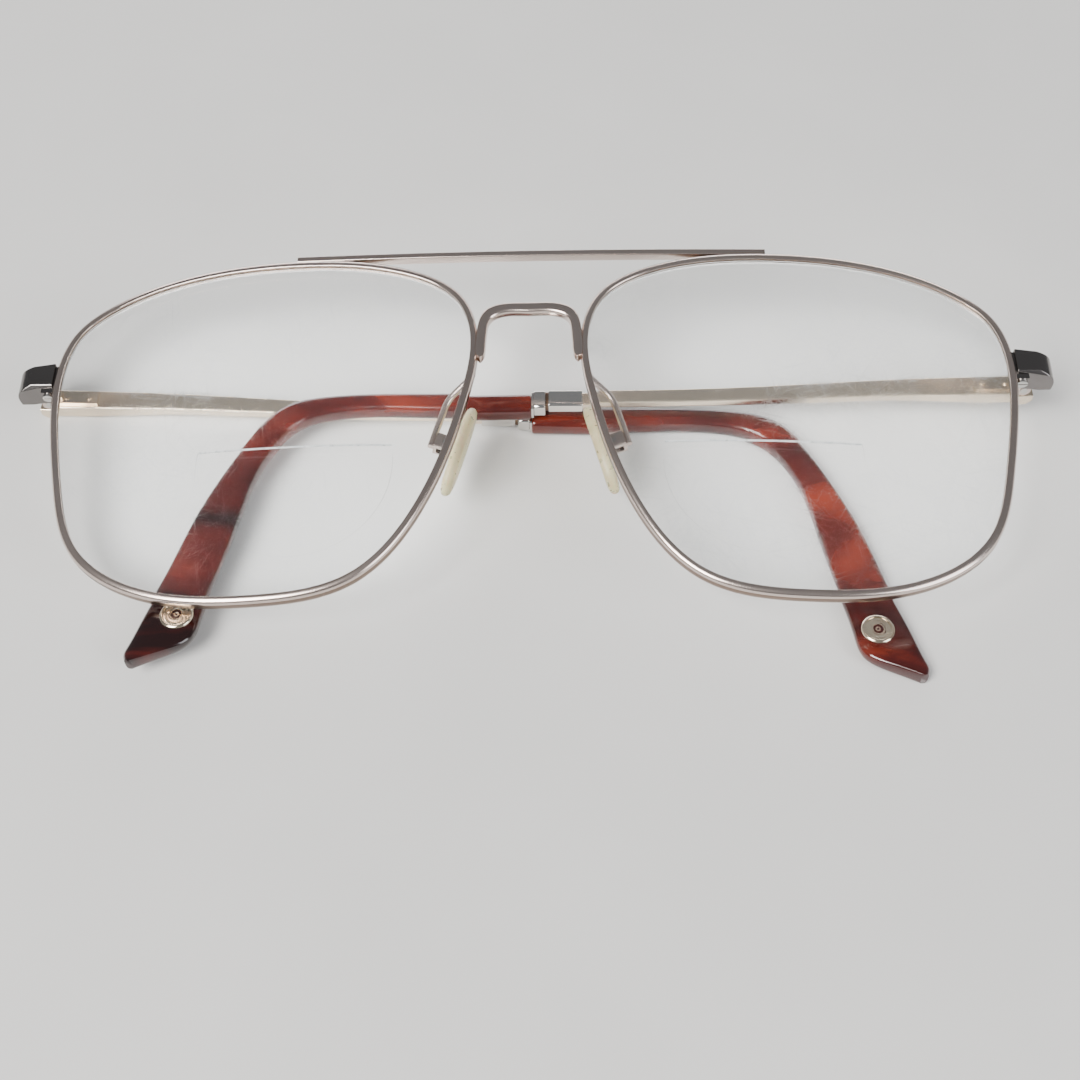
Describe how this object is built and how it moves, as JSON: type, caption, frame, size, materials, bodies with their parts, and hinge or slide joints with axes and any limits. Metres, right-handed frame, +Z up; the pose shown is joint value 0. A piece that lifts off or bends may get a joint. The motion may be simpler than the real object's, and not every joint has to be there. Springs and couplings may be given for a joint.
{
  "type": "folding eyeglasses",
  "caption": "Folding metal eyeglasses with a straight brow bar, full-rim bifocal lenses, rocking nose pads and hooked plastic temple tips, shown folded.",
  "frame": {"origin": "middle of the bottom of the folded glasses' bounding box, on the surface they lie on", "axes": "+X across the front towards the viewer's right, +Y up the face of the lenses, +Z up from the surface, out of the front of the lenses"},
  "size_m": [0.14, 0.059, 0.0176],
  "materials": {
    "satin_nickel": "satin nickel with a warm tint",
    "champagne_metal": "satin champagne plating",
    "dark_metal": "dark satin metal",
    "bright_metal": "polished metal",
    "steel_screw": "bright steel",
    "pale_gold": "pale gold, polished",
    "lens": "clear, lightly coated",
    "silicone": "yellowed translucent silicone",
    "tortoise_acetate": "translucent red-brown acetate, glossy"
  },
  "bodies": {
    "front": {"brow_bar": "satin_nickel", "nose_bridge": "satin_nickel", "left_rim": "satin_nickel", "left_lens": "lens", "left_lens_segment": "lens", "left_upper_closing_block": "dark_metal", "left_lower_closing_block": "dark_metal", "left_lock_screw": "steel_screw", "left_end_piece": "dark_metal", "left_front_hinge": "satin_nickel", "left_hinge_screw": "steel_screw", "left_pad_arm": "satin_nickel", "left_pad_box": "satin_nickel", "left_pad_screw": "steel_screw", "right_rim": "satin_nickel", "right_lens": "lens", "right_lens_segment": "lens", "right_upper_closing_block": "dark_metal", "right_lower_closing_block": "dark_metal", "right_lock_screw": "steel_screw", "right_end_piece": "dark_metal", "right_front_hinge": "satin_nickel", "right_hinge_screw": "steel_screw", "right_pad_arm": "satin_nickel", "right_pad_box": "satin_nickel", "right_pad_screw": "steel_screw"},
    "left_pad": {"left_pad_stem": "steel_screw", "left_nose_pad": "silicone"},
    "left_arm": {"left_temple_arm": "champagne_metal", "left_temple_hinge": "champagne_metal", "left_hinge_rivets": "champagne_metal", "left_collar": "bright_metal", "left_gasket": "bright_metal", "left_temple_tip": "tortoise_acetate", "left_medallion_ring": "pale_gold", "left_medallion_disc": "pale_gold"},
    "right_pad": {"right_pad_stem": "steel_screw", "right_nose_pad": "silicone"},
    "right_arm": {"right_temple_arm": "champagne_metal", "right_temple_hinge": "champagne_metal", "right_hinge_rivets": "champagne_metal", "right_collar": "bright_metal", "right_gasket": "bright_metal", "right_temple_tip": "tortoise_acetate", "right_medallion_ring": "pale_gold", "right_medallion_disc": "pale_gold"}
  },
  "joints": [
    {"name": "left_arm_hinge", "type": "hinge", "parent": "front", "child": "left_arm", "pos_m": [-0.06688, 0.0143, 0.00307], "axis": [0, 1, 0], "range_deg": [0, 88]},
    {"name": "right_arm_hinge", "type": "hinge", "parent": "front", "child": "right_arm", "pos_m": [0.06705, 0.0143, 0.0073], "axis": [0, -1, 0], "range_deg": [0, 90]},
    {"name": "left_pad_pivot", "type": "hinge", "parent": "front", "child": "left_pad", "pos_m": [-0.0112, 0.00192, 0.00733], "axis": [-0.1312, 0.1806, -0.9748], "range_deg": [-8, 8]},
    {"name": "right_pad_pivot", "type": "hinge", "parent": "front", "child": "right_pad", "pos_m": [0.01121, 0.00192, 0.00804], "axis": [0.1925, 0.1806, -0.9645], "range_deg": [-8, 8]}
  ]
}
